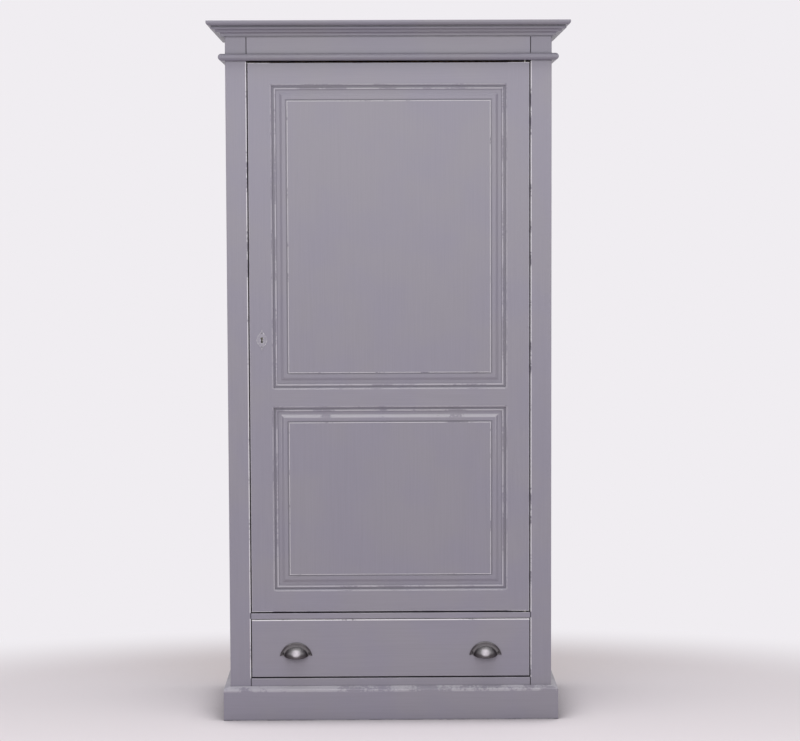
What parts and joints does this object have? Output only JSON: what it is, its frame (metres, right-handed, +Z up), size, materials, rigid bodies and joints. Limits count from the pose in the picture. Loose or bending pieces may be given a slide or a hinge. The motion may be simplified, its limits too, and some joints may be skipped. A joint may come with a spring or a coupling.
{
  "type": "bonnetiere cabinet",
  "caption": "Tall painted softwood cupboard with one raised-panel door over three shelves, a drawer with cup pulls below, a mitred cornice, an astragal and a plinth.",
  "frame": {"origin": "on the floor below the middle of the whole cabinet, cornice included", "axes": "+Z up, the door and drawer face -Y, +X to the right of someone facing the cabinet"},
  "size_m": [0.976, 0.5, 1.9],
  "materials": {
    "painted_softwood": "satin grey-violet paint on pine, rubbed through to a pale undercoat along the arrises",
    "bare_softwood": "planed pine, waxed",
    "antique_pewter": "cast, darkened and rubbed bright on the crown",
    "escutcheon_plate": "painted over and rubbed to the metal at its edges",
    "steel_fittings": "plain rolled steel"
  },
  "bodies": {
    "carcass": {"side_panel_left": "painted_softwood", "side_panel_right": "painted_softwood", "front_stile_left": "painted_softwood", "front_stile_right": "painted_softwood", "frieze_rail": "painted_softwood", "middle_rail": "painted_softwood", "bottom_rail": "painted_softwood", "top_board": "painted_softwood", "back_rail": "bare_softwood", "door_stop_strip": "bare_softwood", "cupboard_floor": "bare_softwood", "shelf_1": "bare_softwood", "shelf_2": "bare_softwood", "shelf_3": "bare_softwood", "shelf_cleats_left": "bare_softwood", "shelf_cleats_right": "bare_softwood", "back_board_1": "bare_softwood", "back_board_2": "bare_softwood", "back_board_3": "bare_softwood", "back_board_4": "bare_softwood", "drawer_runner_left": "bare_softwood", "drawer_runner_right": "bare_softwood", "drawer_stops": "bare_softwood", "cornice_front": "painted_softwood", "cornice_left": "painted_softwood", "cornice_right": "painted_softwood", "astragal_front": "painted_softwood", "astragal_left": "painted_softwood", "astragal_right": "painted_softwood", "plinth_front": "painted_softwood", "plinth_left": "painted_softwood", "plinth_right": "painted_softwood", "strike_plate": "steel_fittings", "pivot_pin_top": "steel_fittings", "pivot_pin_bottom": "steel_fittings", "carcass_screws": "steel_fittings"},
    "door": {"door_stile_lock": "painted_softwood", "door_stile_hinge": "painted_softwood", "door_rail_bottom": "painted_softwood", "door_rail_middle": "painted_softwood", "door_rail_top": "painted_softwood", "panel_lower": "painted_softwood", "panel_upper": "painted_softwood", "moulding_lower": "painted_softwood", "moulding_upper": "painted_softwood", "escutcheon": "escutcheon_plate", "escutcheon_pins": "escutcheon_plate", "lock_case": "steel_fittings", "pivot_socket_top": "steel_fittings", "pivot_socket_bottom": "steel_fittings", "door_screws": "steel_fittings"},
    "lock_bolt": {"lock_bolt": "steel_fittings"},
    "drawer": {"drawer_front": "painted_softwood", "drawer_side_left": "bare_softwood", "drawer_side_right": "bare_softwood", "drawer_back": "bare_softwood", "drawer_bottom": "bare_softwood", "cup_pull_left": "antique_pewter", "cup_pull_right": "antique_pewter", "pull_screws": "antique_pewter"}
  },
  "joints": [
    {"name": "door_hinge", "type": "hinge", "parent": "carcass", "child": "door", "pos_m": [0.368, -0.194, 0.2975], "axis": [0, 0, 1], "range_deg": [0, 110]},
    {"name": "bolt_slide", "type": "slide", "parent": "door", "child": "lock_bolt", "axis": [-1, 0, 0], "range_m": [0, 0.009]},
    {"name": "drawer_slide", "type": "slide", "parent": "carcass", "child": "drawer", "axis": [0, -1, 0], "range_m": [0, 0.3]}
  ]
}
